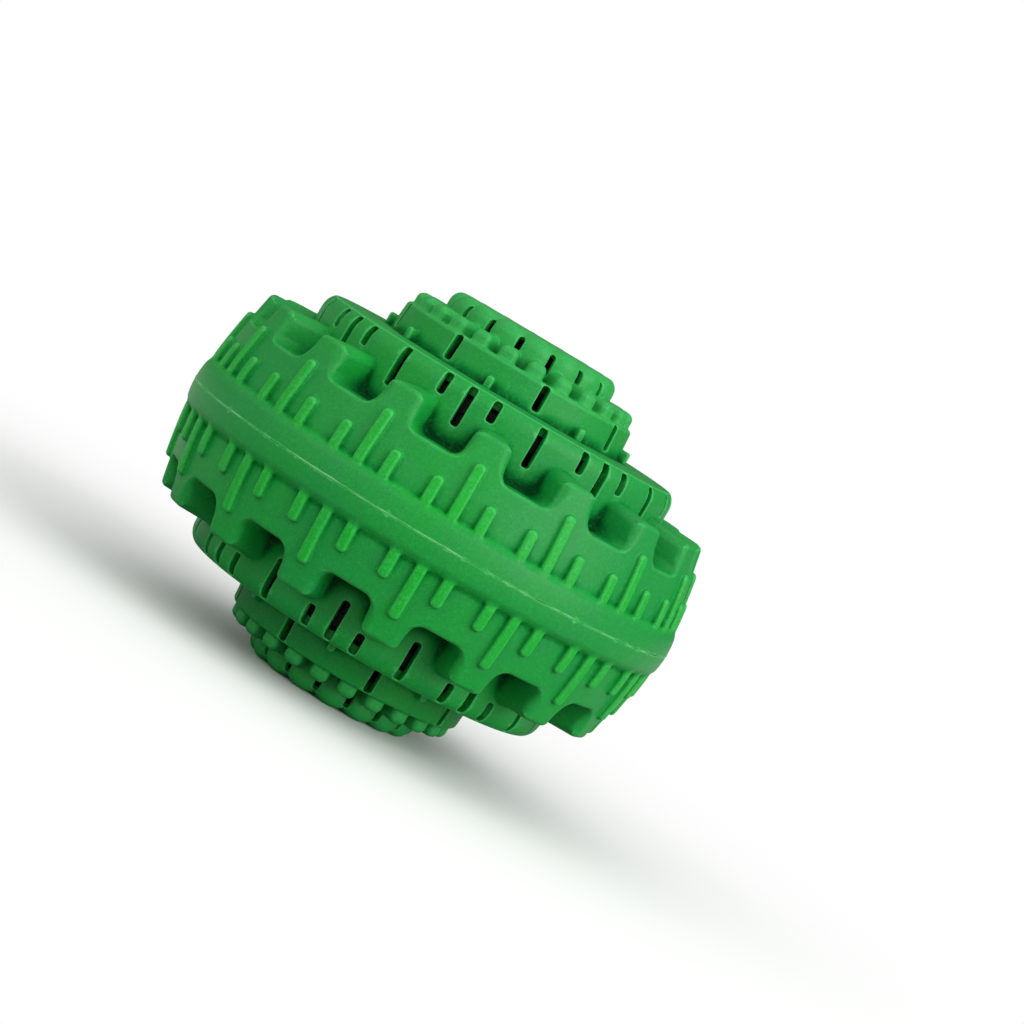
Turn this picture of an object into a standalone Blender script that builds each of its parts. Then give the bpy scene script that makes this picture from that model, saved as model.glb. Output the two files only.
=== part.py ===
"""Laundry ball: two stepped, slotted rubber skins over a plugged-together cage of ceramic beads.

Heights are measured from the parting plane, where the two halves meet. The ball's centre is an
empty, half the ball's height above the ground, so the ball stands on its lower pole.
"""
import math

import bmesh
import bpy
from mathutils import Matrix, Vector

# How often things repeat round the ball
SLOT_GROUPS = 8
POCKETS = 16
KNOBS = 24
RING_SLOTS = 16
CAGE_WALL_SLOTS = 16
CAGE_FLOOR_SLOTS = 8
PEGS = 4
SKIN_SEGMENTS = 32
CAGE_SEGMENTS = 32

# Fits
GAP = 0.0003
SKIN = 0.0019
OVERLAP = 0.0006

# Belt: the smooth band where the two halves meet
BELT_RADIUS = 0.0500
BELT_HALF_HEIGHT = 0.0046
BELT_ROUNDING = 0.0015
BELT_WALL = 0.0050
PARTING_CHAMFER = 0.0003

# First tier: the leaning wall with ribs below and pockets above
WALL_SETBACK = 0.0023
WALL_LEAN = 0.0024
WALL_LEAN_POWER = 1.25
FIRST_TOP = 0.0194
FIRST_DECK_RISE = 0.0008
FIRST_ROUNDING = 0.0015
FIRST_ROUNDING_ARC = (45, 85)
POCKET_FLOOR = 0.0136
POCKET_HALF_WIDTH = 0.0051
POCKET_CORNER = 0.0018
MERLON_CORNER = 0.0011
MERLON_CORNER_ARC = (180, 110)

# Ribs standing on the first tier
RIB_WIDTH = 0.0021
RIB_PROUD = 0.0011
RIB_CHAMFER = 0.0005
RIB_NOSE = 0.0007
RIB_TIP_PROUD = 0.0005
RIB_TIP_WIDTH = 0.00115
LONG_RIB_TOP = 0.0144
SHORT_RIB_TOP = 0.0094
SHORT_RIB_ANGLE = math.radians(6.2)

# Second tier, with its slots in groups
SECOND_RADIUS = 0.0365
SECOND_TOP = 0.0255
SECOND_DECK_RISE = 0.0003
SECOND_SHOULDER = Vector((0.0023, 0.0033))
SECOND_SLOT_WIDTH = 0.00145
SECOND_SLOT_TOP = 0.0249
LONG_SLOT_FLOOR = 0.0175
SHORT_SLOT_FLOOR = 0.0213
SHORT_SLOT_ANGLE = math.radians(7.9)

# Third tier, with its slots and the small stops at its foot
THIRD_BASE_RADIUS = 0.0239
THIRD_TOP_RADIUS = 0.0234
THIRD_TOP = 0.0315
THIRD_ROUNDING = 0.0005
THIRD_SLOT_WIDTH = 0.00148
THIRD_SLOT_FLOOR = 0.0264
THIRD_SLOT_TOP = 0.0312
STOP_RADIUS = 0.0255
STOP_WIDTH = 0.0015
STOP_TOP = 0.0279
STOP_CORNER = 0.0006

# Knobs on the third tier's ledge
KNOB_RADIUS = 0.0226
KNOB_WIDTH = 0.0037
KNOB_TOP = 0.0341
KNOB_CORNER = 0.0013

# Fourth tier: the ring at the pole
FOURTH_RADIUS = 0.0172
FOURTH_TOP = 0.0377
FOURTH_SHOULDER = Vector((0.0021, 0.0024))
FOURTH_SLOT_WIDTH = 0.0010
FOURTH_SLOT_FLOOR = 0.0325
FOURTH_SLOT_TOP = 0.0369

# Cage: the hard cup that holds the beads
CAGE_WALL = 0.0016
FLANGE_THICKNESS = 0.0030
FLANGE_SEAT = 0.0012
CAGE_SLOT_WIDTH = 0.0036
CAGE_WALL_SLOT_FLOOR = 0.0055
CAGE_FLOOR_SLOT_INNER = 0.0070
CAGE_HUB_HOLE = 0.0018
PEG_RADIUS = 0.0015
PEG_SIDES = 8

# Divider and beads
DIVIDER_THICKNESS = 0.0016
BEAD_RADIUS = 0.0038
BEAD_ROOM = 0.0002
BEAD_FACETS = 6
BEAD_RINGS = 4

# Plans of the two layers of beads in a quarter: a string is a row, and an o is a bead
FLOOR_BEADS = ("ooo", "ooo", "oo")
UPPER_BEADS = ("oo", "o")

# Surfaces: the angle from which an edge stays sharp, how rough they are, and linear colours
SHARP_ANGLE = math.radians(35)
RUBBER_ROUGHNESS = 0.45
PLASTIC_ROUGHNESS = 0.40
CERAMIC_ROUGHNESS = 0.55
RUBBER_GREEN = (0.035, 0.330, 0.070, 1.0)
CAGE_CHARCOAL = (0.020, 0.022, 0.022, 1.0)
DIVIDER_GREY = (0.120, 0.125, 0.125, 1.0)
BEAD_KINDS = {
    "infrared": (0.330, 0.120, 0.060, 1.0),
    "antibacterial": (0.780, 0.740, 0.640, 1.0),
    "alkaline": (0.240, 0.240, 0.230, 1.0),
    "dechlorinating": (0.460, 0.500, 0.330, 1.0),
}

# Sizes that follow from those above
HALF_GAP = GAP / 2
SECOND_WALL_INSIDE = SECOND_RADIUS - SKIN
SECOND_CEILING = SECOND_TOP - SKIN
THIRD_CEILING = THIRD_TOP - SKIN
FOURTH_CEILING = FOURTH_TOP - SKIN
FIRST_CEILING = POCKET_FLOOR - SKIN
CAGE_RADIUS = SECOND_WALL_INSIDE - GAP
CAGE_BORE = CAGE_RADIUS - CAGE_WALL
CAGE_TOP = SECOND_CEILING - GAP
CAGE_CEILING = CAGE_TOP - CAGE_WALL
FLANGE_TOP = HALF_GAP + FLANGE_THICKNESS
WALL_BASE_RADIUS = BELT_RADIUS - WALL_SETBACK
WALL_TOP_RADIUS = WALL_BASE_RADIUS - WALL_LEAN
FLANGE_RADIUS = BELT_RADIUS - BELT_WALL - GAP
PEG_CIRCLE = (CAGE_RADIUS + FLANGE_RADIUS) / 2
BEAD_SPACING = 2.0 * BEAD_RADIUS + GAP + BEAD_ROOM


def clear_scene():
    for item in list(bpy.data.objects):
        bpy.data.objects.remove(item, do_unlink=True)


def material(name, colour, roughness):
    made = bpy.data.materials.new(name)
    made.use_nodes = True
    shader = made.node_tree.nodes["Principled BSDF"]
    shader.inputs["Base Color"].default_value = colour
    shader.inputs["Roughness"].default_value = roughness
    shader.inputs["Metallic"].default_value = 0.0
    return made


def arc(centre, radii, start, end, steps):
    """Points along an elliptical arc, with start and end in degrees."""
    points = []
    for step in range(steps + 1):
        angle = math.radians(start + (end - start) * step / steps)
        points.append((centre[0] + radii[0] * math.cos(angle), centre[1] + radii[1] * math.sin(angle)))
    return points


def wall_radius(height):
    """Radius of the first tier's wall, which leans in more the higher it gets."""
    share = (height - BELT_HALF_HEIGHT) / (FIRST_TOP - BELT_HALF_HEIGHT)
    lean = max(share, 0.0) ** WALL_LEAN_POWER
    return WALL_BASE_RADIUS + (WALL_TOP_RADIUS - WALL_BASE_RADIUS) * lean


def mesh_object(name, shape, owner):
    """Turn a bmesh into an object that hangs from the ball's centre."""
    bmesh.ops.recalc_face_normals(shape, faces=shape.faces)
    mesh = bpy.data.meshes.new(name)
    shape.to_mesh(mesh)
    shape.free()
    made = bpy.data.objects.new(name, mesh)
    bpy.context.scene.collection.objects.link(made)
    made.parent = owner
    return made


def revolve(shape, profile, segments):
    """Spin a closed profile of (radius, height) points round the ball's axis.

    The facets are turned by half their width, so that slots and knobs lie on whole facets.
    """
    corners = [shape.verts.new((radius, 0.0, height)) for radius, height in profile]
    edges = [shape.edges.new((corners[i - 1], corners[i])) for i in range(len(corners))]
    axis_edges = [edge for edge in edges if all(vert.co.x == 0.0 for vert in edge.verts)]
    turned = [edge for edge in edges if edge not in axis_edges]
    bmesh.ops.spin(
        shape,
        geom=corners + turned,
        axis=(0.0, 0.0, 1.0),
        cent=(0.0, 0.0, 0.0),
        angle=2.0 * math.pi,
        steps=segments,
        use_merge=True,
    )
    bmesh.ops.delete(shape, geom=axis_edges, context="EDGES")
    bmesh.ops.remove_doubles(shape, verts=shape.verts, dist=1e-6)
    half_facet = Matrix.Rotation(math.pi / segments, 3, "Z")
    bmesh.ops.rotate(shape, verts=shape.verts, cent=(0.0, 0.0, 0.0), matrix=half_facet)


def radial_block(shape, outline, inner, outer, azimuth, reference):
    """A wedge between two radii. The outline is (width along the arc at reference, height)."""
    loops = []
    for radius in (inner, outer):
        loop = []
        for across, height in outline:
            angle = azimuth + across / reference
            loop.append(shape.verts.new((radius * math.cos(angle), radius * math.sin(angle), height)))
        loops.append(loop)
    count = len(outline)
    shape.faces.new(loops[0])
    shape.faces.new(loops[1])
    for i in range(count):
        after = (i + 1) % count
        shape.faces.new((loops[0][i], loops[0][after], loops[1][after], loops[1][i]))


def slot_outline(width, floor, top):
    """A straight slot, as a narrow mould blade leaves it."""
    half = width / 2
    return [(-half, floor), (half, floor), (half, top), (-half, top)]


def pocket_outline():
    """The pocket's U, which flares at the top into the rounded corners of the merlons beside it."""
    low_centre = (POCKET_HALF_WIDTH - POCKET_CORNER, POCKET_FLOOR + POCKET_CORNER)
    bend = (POCKET_CORNER, POCKET_CORNER)
    right = arc(low_centre, bend, -90, 0, 2)
    flare_centre = (POCKET_HALF_WIDTH + MERLON_CORNER, FIRST_TOP - MERLON_CORNER)
    right += arc(flare_centre, (MERLON_CORNER, MERLON_CORNER), *MERLON_CORNER_ARC, 1)
    right.append((POCKET_HALF_WIDTH + MERLON_CORNER, SECOND_TOP))
    left = [(-across, height) for across, height in reversed(right)]
    return right + left


def bump_outline(width, foot, top, corner):
    """A block with rounded top corners, from its foot inside the ledge up to its top."""
    half = width / 2
    right = [(half, foot)]
    right += arc((half - corner, top - corner), (corner, corner), 0, 90, 1)
    left = [(-across, height) for across, height in reversed(right)]
    return right + left


def rib(shape, azimuth, top):
    """A rib that follows the leaning wall from inside the belt and ends in a round nose."""
    rows = [
        (BELT_HALF_HEIGHT - OVERLAP, RIB_PROUD, RIB_WIDTH),
        (top - RIB_NOSE, RIB_PROUD, RIB_WIDTH),
        (top, RIB_TIP_PROUD, RIB_TIP_WIDTH),
    ]
    rings = []
    for height, proud, width in rows:
        radius = wall_radius(height)
        half = width / 2
        flat = half * (1.0 - 2.0 * RIB_CHAMFER / RIB_WIDTH)
        section = [(-OVERLAP, -half), (proud, -flat), (proud, flat), (-OVERLAP, half)]
        ring = []
        for out, across in section:
            spot = Vector((radius + out, across, height))
            ring.append(shape.verts.new(Matrix.Rotation(azimuth, 3, "Z") @ spot))
        rings.append(ring)
    shape.faces.new(rings[0])
    shape.faces.new(rings[-1])
    for low, high in zip(rings, rings[1:]):
        for i in range(len(low)):
            after = (i + 1) % len(low)
            shape.faces.new((low[i], low[after], high[after], high[i]))


def band_profile():
    """Belt and first tier, with the rebate inside that the cage's flange seats in."""
    belt_corner = (BELT_RADIUS - BELT_ROUNDING, BELT_HALF_HEIGHT - BELT_ROUNDING)
    rebate = FLANGE_RADIUS + GAP
    rebate_top = FLANGE_TOP + GAP
    bore = SECOND_RADIUS - SKIN + OVERLAP
    deck_corner = (wall_radius(FIRST_TOP) - FIRST_ROUNDING, FIRST_TOP - FIRST_ROUNDING)
    points = [(rebate, HALF_GAP), (BELT_RADIUS - PARTING_CHAMFER, HALF_GAP)]
    points.append((BELT_RADIUS, HALF_GAP + PARTING_CHAMFER))
    points += arc(belt_corner, (BELT_ROUNDING, BELT_ROUNDING), 0, 90, 2)
    wall_top = FIRST_TOP - FIRST_ROUNDING
    for step in range(3):
        height = BELT_HALF_HEIGHT + (wall_top - BELT_HALF_HEIGHT) * step / 2
        points.append((wall_radius(height), height))
    points += arc(deck_corner, (FIRST_ROUNDING, FIRST_ROUNDING), *FIRST_ROUNDING_ARC, 1)
    points.append((bore, FIRST_TOP + FIRST_DECK_RISE))
    points.append((bore, FIRST_CEILING))
    points.append((wall_radius(FIRST_CEILING) - SKIN, FIRST_CEILING))
    points.append((FLANGE_RADIUS - FLANGE_SEAT, rebate_top))
    points.append((rebate, rebate_top))
    return points


def core_profile():
    """Second, third and fourth tiers, one skin thick, closed at the pole."""
    second_corner = (SECOND_RADIUS - SECOND_SHOULDER.x, SECOND_TOP - SECOND_SHOULDER.y)
    third_corner = (THIRD_TOP_RADIUS - THIRD_ROUNDING, THIRD_TOP - THIRD_ROUNDING)
    fourth_corner = (FOURTH_RADIUS - FOURTH_SHOULDER.x, FOURTH_TOP - FOURTH_SHOULDER.y)
    foot = FIRST_CEILING + OVERLAP
    points = [(SECOND_WALL_INSIDE, foot), (SECOND_RADIUS, foot)]
    points += arc(second_corner, SECOND_SHOULDER, 0, 90, 2)
    points.append((THIRD_BASE_RADIUS, SECOND_TOP + SECOND_DECK_RISE))
    points += arc(third_corner, (THIRD_ROUNDING, THIRD_ROUNDING), 0, 90, 1)
    points.append((FOURTH_RADIUS, THIRD_TOP))
    points += arc(fourth_corner, FOURTH_SHOULDER, 0, 90, 2)
    points.append((0.0, FOURTH_TOP))
    points.append((0.0, FOURTH_CEILING))
    points.append((FOURTH_RADIUS - SKIN, FOURTH_CEILING))
    points.append((FOURTH_RADIUS - SKIN, THIRD_CEILING))
    points.append((THIRD_TOP_RADIUS - SKIN, THIRD_CEILING))
    points.append((THIRD_BASE_RADIUS - SKIN, SECOND_CEILING))
    points.append((SECOND_WALL_INSIDE, SECOND_CEILING))
    return points


def azimuths(count, offset=0.0):
    return [offset + 2.0 * math.pi * i / count for i in range(count)]


def pocket_cutters():
    shape = bmesh.new()
    outline = pocket_outline()
    for azimuth in azimuths(POCKETS):
        radial_block(shape, outline, SECOND_WALL_INSIDE, BELT_RADIUS, azimuth, WALL_TOP_RADIUS)
    return shape


def slot_cutters():
    """Every slot that is cut in the three upper tiers."""
    shape = bmesh.new()
    step = 2.0 * math.pi / SLOT_GROUPS
    long_slot = slot_outline(SECOND_SLOT_WIDTH, LONG_SLOT_FLOOR, SECOND_SLOT_TOP)
    short_slot = slot_outline(SECOND_SLOT_WIDTH, SHORT_SLOT_FLOOR, SECOND_SLOT_TOP)
    third_slot = slot_outline(THIRD_SLOT_WIDTH, THIRD_SLOT_FLOOR, THIRD_SLOT_TOP)
    second = (SECOND_WALL_INSIDE - OVERLAP, SECOND_RADIUS + SKIN)
    third = (THIRD_TOP_RADIUS - SKIN - OVERLAP, THIRD_BASE_RADIUS + SKIN)
    for azimuth in azimuths(SLOT_GROUPS):
        radial_block(shape, long_slot, *second, azimuth, SECOND_RADIUS)
        radial_block(shape, short_slot, *second, azimuth - SHORT_SLOT_ANGLE, SECOND_RADIUS)
        radial_block(shape, short_slot, *second, azimuth + SHORT_SLOT_ANGLE, SECOND_RADIUS)
        radial_block(shape, long_slot, *second, azimuth + step / 2, SECOND_RADIUS)
        radial_block(shape, third_slot, *third, azimuth + step / 2, THIRD_TOP_RADIUS)
    fourth_slot = slot_outline(FOURTH_SLOT_WIDTH, FOURTH_SLOT_FLOOR, FOURTH_SLOT_TOP)
    for azimuth in azimuths(RING_SLOTS):
        inner = FOURTH_RADIUS - SKIN - OVERLAP
        radial_block(shape, fourth_slot, inner, FOURTH_RADIUS + SKIN, azimuth, FOURTH_RADIUS)
    return shape


def raised_pieces():
    """Ribs, knobs and stops, which the mould adds to the skin."""
    shape = bmesh.new()
    step = 2.0 * math.pi / POCKETS
    for azimuth in azimuths(POCKETS, step / 2):
        rib(shape, azimuth, LONG_RIB_TOP)
        rib(shape, azimuth - SHORT_RIB_ANGLE, SHORT_RIB_TOP)
        rib(shape, azimuth + SHORT_RIB_ANGLE, SHORT_RIB_TOP)
    knob = bump_outline(KNOB_WIDTH, THIRD_TOP - OVERLAP, KNOB_TOP, KNOB_CORNER)
    for azimuth in azimuths(KNOBS):
        radial_block(shape, knob, FOURTH_RADIUS - OVERLAP, KNOB_RADIUS, azimuth, KNOB_RADIUS)
    stop = bump_outline(STOP_WIDTH, SECOND_TOP - OVERLAP, STOP_TOP, STOP_CORNER)
    for azimuth in azimuths(SLOT_GROUPS):
        radial_block(shape, stop, THIRD_TOP_RADIUS - OVERLAP, STOP_RADIUS, azimuth, STOP_RADIUS)
    return shape


def use_tool(target, shape, name, operation):
    """Cut or join a bmesh with a Boolean, and keep the tool as a hidden guide."""
    tool = mesh_object(name, shape, target.parent)
    tool.hide_render = True
    tool.display_type = "WIRE"
    boolean = target.modifiers.new(name, "BOOLEAN")
    boolean.operation = operation
    boolean.solver = "EXACT"
    boolean.object = tool
    return tool


def profile_tool(profile, segments):
    shape = bmesh.new()
    revolve(shape, profile, segments)
    return shape


def finished_mesh(source):
    """The mesh that an object's modifiers give, as data of its own."""
    bpy.context.view_layer.update()
    graph = bpy.context.evaluated_depsgraph_get()
    return bpy.data.meshes.new_from_object(source.evaluated_get(graph))


def bake_modifiers(source):
    """Put the finished shape in the object's own mesh, shaded smooth except at its sharp edges."""
    mesh = finished_mesh(source)
    source.modifiers.clear()
    source.data = mesh
    mesh.shade_smooth()
    mesh.set_sharp_from_angle(angle=SHARP_ANGLE)


def mirrored_mesh(mesh, name):
    """The same shape below the parting plane."""
    copy = mesh.copy()
    copy.name = name
    copy.transform(Matrix.Scale(-1.0, 4, (0.0, 0.0, 1.0)))
    copy.flip_normals()
    return copy


def upper_skin(centre, rubber):
    shape = profile_tool(band_profile(), SKIN_SEGMENTS)
    skin = mesh_object("upper_shell", shape, centre)
    use_tool(skin, pocket_cutters(), "guide_pockets", "DIFFERENCE")
    use_tool(skin, profile_tool(core_profile(), SKIN_SEGMENTS), "guide_tiers", "UNION")
    use_tool(skin, slot_cutters(), "guide_slots", "DIFFERENCE")
    use_tool(skin, raised_pieces(), "guide_ribs_and_knobs", "UNION")
    bake_modifiers(skin)
    skin.data.materials.clear()
    skin.data.materials.append(rubber)
    return skin


def lower_skin(upper, centre, rubber):
    mesh = mirrored_mesh(upper.data, "lower_shell")
    skin = bpy.data.objects.new("lower_shell", mesh)
    bpy.context.scene.collection.objects.link(skin)
    skin.parent = centre
    mesh.materials.clear()
    mesh.materials.append(rubber)
    return skin


def cage_profile():
    """A cup, open at the parting plane, with a flange that seats in the skin's rebate."""
    return [
        (CAGE_BORE, HALF_GAP),
        (FLANGE_RADIUS, HALF_GAP),
        (FLANGE_RADIUS, FLANGE_TOP),
        (CAGE_RADIUS, FLANGE_TOP),
        (CAGE_RADIUS, CAGE_TOP),
        (0.0, CAGE_TOP),
        (0.0, CAGE_CEILING),
        (CAGE_BORE, CAGE_CEILING),
    ]


def cage_cutters():
    """Upright slots in the cup's wall, spokes of slots in its floor and a hole at its hub."""
    shape = bmesh.new()
    upright = slot_outline(CAGE_SLOT_WIDTH, CAGE_WALL_SLOT_FLOOR, CAGE_CEILING - CAGE_WALL)
    for azimuth in azimuths(CAGE_WALL_SLOTS):
        radial_block(shape, upright, CAGE_BORE - CAGE_WALL, CAGE_RADIUS + CAGE_WALL, azimuth, CAGE_RADIUS)
    ends = (CAGE_FLOOR_SLOT_INNER, CAGE_BORE - CAGE_WALL)
    heights = (CAGE_CEILING - OVERLAP, CAGE_TOP + OVERLAP)
    for azimuth in azimuths(CAGE_FLOOR_SLOTS, math.pi / CAGE_FLOOR_SLOTS):
        turn = Matrix.Rotation(azimuth, 4, "Z")
        size = Vector((ends[1] - ends[0], CAGE_SLOT_WIDTH, heights[1] - heights[0]))
        middle = Vector((sum(ends) / 2, 0.0, sum(heights) / 2))
        place = turn @ Matrix.Translation(middle) @ Matrix.Diagonal((*size, 1.0))
        bmesh.ops.create_cube(shape, size=1.0, matrix=place)
    hub = Matrix.Translation((0.0, 0.0, sum(heights) / 2))
    depth = heights[1] - heights[0]
    bmesh.ops.create_cone(shape, cap_ends=True, segments=PEG_SIDES, radius1=CAGE_HUB_HOLE,
                          radius2=CAGE_HUB_HOLE, depth=depth, matrix=hub)
    return shape


def pegs(radius, low, high):
    """Upright pins on the flange's circle, between two heights."""
    shape = bmesh.new()
    for azimuth in azimuths(PEGS, math.pi / PEGS):
        spot = Matrix.Rotation(azimuth, 4, "Z") @ Matrix.Translation((PEG_CIRCLE, 0.0, (low + high) / 2))
        bmesh.ops.create_cone(shape, cap_ends=True, segments=PEG_SIDES, radius1=radius,
                              radius2=radius, depth=high - low, matrix=spot)
    return shape


def cage_half(name, centre, plastic):
    cage = mesh_object(name, profile_tool(cage_profile(), CAGE_SEGMENTS), centre)
    use_tool(cage, cage_cutters(), "guide_slots_of_" + name, "DIFFERENCE")
    cage.data.materials.append(plastic)
    return cage


def upper_cage(centre, plastic):
    """The upper cup carries the pegs."""
    cage = cage_half("upper_cage", centre, plastic)
    use_tool(cage, pegs(PEG_RADIUS, -FLANGE_TOP, FLANGE_TOP - OVERLAP), "guide_pegs", "UNION")
    bake_modifiers(cage)
    return cage


def lower_cage(centre, plastic):
    """The lower cup is the same part with sockets where the upper one has pegs."""
    cage = cage_half("lower_cage", centre, plastic)
    use_tool(cage, pegs(PEG_RADIUS + GAP, 0.0, FLANGE_TOP + OVERLAP), "guide_sockets", "DIFFERENCE")
    bake_modifiers(cage)
    cage.data = mirrored_mesh(cage.data, "lower_cage")
    return cage


def divider(centre, plastic):
    """Two crossed walls that part the chamber into four."""
    reach = CAGE_BORE - GAP
    height = CAGE_CEILING - GAP
    half = DIVIDER_THICKNESS / 2
    outline = [(reach, -half), (reach, half), (half, half), (half, reach), (-half, reach), (-half, half),
               (-reach, half), (-reach, -half), (-half, -half), (-half, -reach), (half, -reach), (half, -half)]
    shape = bmesh.new()
    floor = shape.faces.new([shape.verts.new((x, y, -height)) for x, y in outline])
    raised = bmesh.ops.extrude_face_region(shape, geom=[floor])
    moved = [item for item in raised["geom"] if isinstance(item, bmesh.types.BMVert)]
    bmesh.ops.translate(shape, verts=moved, vec=(0.0, 0.0, 2.0 * height))
    wall = mesh_object("divider", shape, centre)
    wall.data.materials.append(plastic)
    return wall


def bead_grid_start():
    """Where the grid of beads starts, for its two outermost beads to lie against the round wall."""
    reach = CAGE_BORE - GAP - BEAD_RADIUS
    return (math.sqrt(2.0 * reach ** 2 - BEAD_SPACING ** 2) - 3.0 * BEAD_SPACING) / 2


def bead_layer(start, height, plan):
    """Beads on a square grid, as the plan shows them."""
    places = []
    for row, marks in enumerate(plan):
        for column in range(len(marks)):
            places.append(Vector((start + row * BEAD_SPACING, start + column * BEAD_SPACING, height)))
    return places


def bead_places():
    """Where the beads of one quarter lie: a square layer on the floor and three in its hollows."""
    start = bead_grid_start()
    floor = -CAGE_CEILING + GAP + BEAD_RADIUS
    apart = 2.0 * BEAD_RADIUS + GAP
    climb = math.sqrt(apart ** 2 - BEAD_SPACING ** 2 / 2)
    places = bead_layer(start, floor, FLOOR_BEADS)
    return places + bead_layer(start + BEAD_SPACING / 2, floor + climb, UPPER_BEADS)


def beads(centre):
    shape = bmesh.new()
    bmesh.ops.create_uvsphere(shape, u_segments=BEAD_FACETS, v_segments=BEAD_RINGS, radius=BEAD_RADIUS)
    for quarter, (kind, colour) in enumerate(BEAD_KINDS.items()):
        ceramic = material(kind + "_ceramic", colour, CERAMIC_ROUGHNESS)
        turn = Matrix.Rotation(quarter * math.pi / 2, 3, "Z")
        for number, place in enumerate(bead_places(), start=1):
            bead = mesh_object(f"{kind}_bead_{number:02d}", shape.copy(), centre)
            bead.location = turn @ place
            bead.data.materials.append(ceramic)
            bead.data.shade_smooth()
    shape.free()


def build():
    clear_scene()
    rubber = material("soft_rubber", RUBBER_GREEN, RUBBER_ROUGHNESS)
    plastic = material("cage_plastic", CAGE_CHARCOAL, PLASTIC_ROUGHNESS)
    wall_plastic = material("divider_plastic", DIVIDER_GREY, PLASTIC_ROUGHNESS)
    centre = bpy.data.objects.new("ball_centre", None)
    bpy.context.scene.collection.objects.link(centre)
    centre.location = (0.0, 0.0, FOURTH_TOP)
    upper = upper_skin(centre, rubber)
    lower_skin(upper, centre, rubber)
    upper_cage(centre, plastic)
    lower_cage(centre, plastic)
    divider(centre, wall_plastic)
    beads(centre)


build()
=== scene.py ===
"""Looks of the laundry ball: moulded rubber skins, bead cages, ceramic beads, floor, lights and camera.

Skins and cages are described as signed distances: how far a point lies from the moulding's surface.
One wedge of each, between two of its mirror planes, is turned into a mesh, and Geometry Nodes repeat
it round the axis. Heights inside the shape functions are measured from the parting plane.
"""
import math

import bmesh
import bpy
import numpy as np
from mathutils import Matrix, Vector, noise


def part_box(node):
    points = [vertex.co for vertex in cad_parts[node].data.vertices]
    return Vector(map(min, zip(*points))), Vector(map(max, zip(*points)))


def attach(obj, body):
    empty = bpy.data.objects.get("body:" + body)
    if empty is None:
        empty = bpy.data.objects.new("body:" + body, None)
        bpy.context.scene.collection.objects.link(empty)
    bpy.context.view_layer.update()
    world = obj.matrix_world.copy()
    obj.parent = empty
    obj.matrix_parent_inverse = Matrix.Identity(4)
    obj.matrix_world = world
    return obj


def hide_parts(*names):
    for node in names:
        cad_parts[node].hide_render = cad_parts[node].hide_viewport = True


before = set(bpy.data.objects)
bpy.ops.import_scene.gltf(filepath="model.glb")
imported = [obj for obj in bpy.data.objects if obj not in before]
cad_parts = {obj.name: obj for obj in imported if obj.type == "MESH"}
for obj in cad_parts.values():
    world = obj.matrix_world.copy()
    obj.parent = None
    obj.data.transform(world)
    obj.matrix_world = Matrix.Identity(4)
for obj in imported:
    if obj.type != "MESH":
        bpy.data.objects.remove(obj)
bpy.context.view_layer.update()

# Sizes read from the solids in model.glb
SKIN_LOW, SKIN_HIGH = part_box("upper_shell")
PARTING = (SKIN_LOW.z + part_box("lower_shell")[1].z) / 2
POLE_TOP = SKIN_HIGH.z - PARTING
FLASH_PROUD = 0.00010
BELT_RADIUS = SKIN_HIGH.x - FLASH_PROUD

# Belt and skin, in metres. Heights follow the photograph, a little closer than the solids do
SKIN = 0.0019
BELT_HALF_HEIGHT = 0.0051
BELT_ROUNDING = 0.0020
BELT_CROWN = 0.0008
BELT_FILLET = 0.0005
PARTING_LIFT = 0.00005
PARTING_EDGE = 0.00012

# First tier: a leaning wall with pockets between its merlons
WALL_BASE_RADIUS = 0.0477
WALL_TOP_RADIUS = 0.0453
WALL_LEAN_POWER = 1.25
WALL_LEAN_LIMIT = 1.4
FIRST_TOP = 0.0199
FIRST_DECK_RISE = 0.0005
FIRST_ROUNDING = 0.0008
FIRST_INSET = 0.0015
POCKET_FLOOR = 0.0138
POCKET_HALF_WIDTH = 0.0048
POCKET_LEAN = 0.07
POCKET_CORNER = 0.0019
POCKET_BEHIND = 0.0010
POCKET_EDGE = 0.0006
POCKET_EDGE_GROWTH = 0.0012
POCKET_EDGE_RISE = 0.003

# Second tier: a wall whose shoulder ends in a crisp rim
SECOND_RADIUS = 0.0365
SECOND_TOP = 0.0255
SECOND_DECK_RISE = 0.0003
SECOND_DECK_WIDTH = 0.0126
SECOND_SHOULDER = (0.0023, 0.0033)
SECOND_RIM_CUT = 0.0003
SECOND_RIM_EDGE = 0.00012
SECOND_FILLET = 0.0005

# Third and fourth tiers, the fourth with lobes between its slots
THIRD_BASE_RADIUS = 0.0239
THIRD_TOP_RADIUS = 0.0234
THIRD_TOP = 0.0315
THIRD_ROUNDING = 0.0007
THIRD_FILLET = 0.0004
FOURTH_RADIUS = 0.0172
FOURTH_SHOULDER = (0.0021, 0.0024)
FOURTH_FILLET = 0.0004
LOBE_FALL = 0.0007
LOBE_INNER = 0.0120

# Ribs, knobs and stops
RIB_WIDTH = 0.0021
RIB_PROUD = 0.0011
RIB_END = 0.00095
RIB_ROUNDING = 0.00060
RIB_FILLET = 0.0003
LONG_RIB_TOP = 0.0151
SHORT_RIB_TOP = 0.0099
SHORT_RIB_ANGLE = math.radians(6.2)
KNOB_RADIUS = 0.0226
KNOB_WIDTH = 0.0037
KNOB_TOP = 0.0341
KNOB_CORNER = 0.0012
KNOB_ROUNDING = 0.0013
KNOB_FILLET = 0.0004
STOP_RADIUS = 0.0255
STOP_WIDTH = 0.0014
STOP_TOP = 0.0280
STOP_END = 0.00062
STOP_ROUNDING = 0.0004
STOP_FILLET = 0.0003

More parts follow.
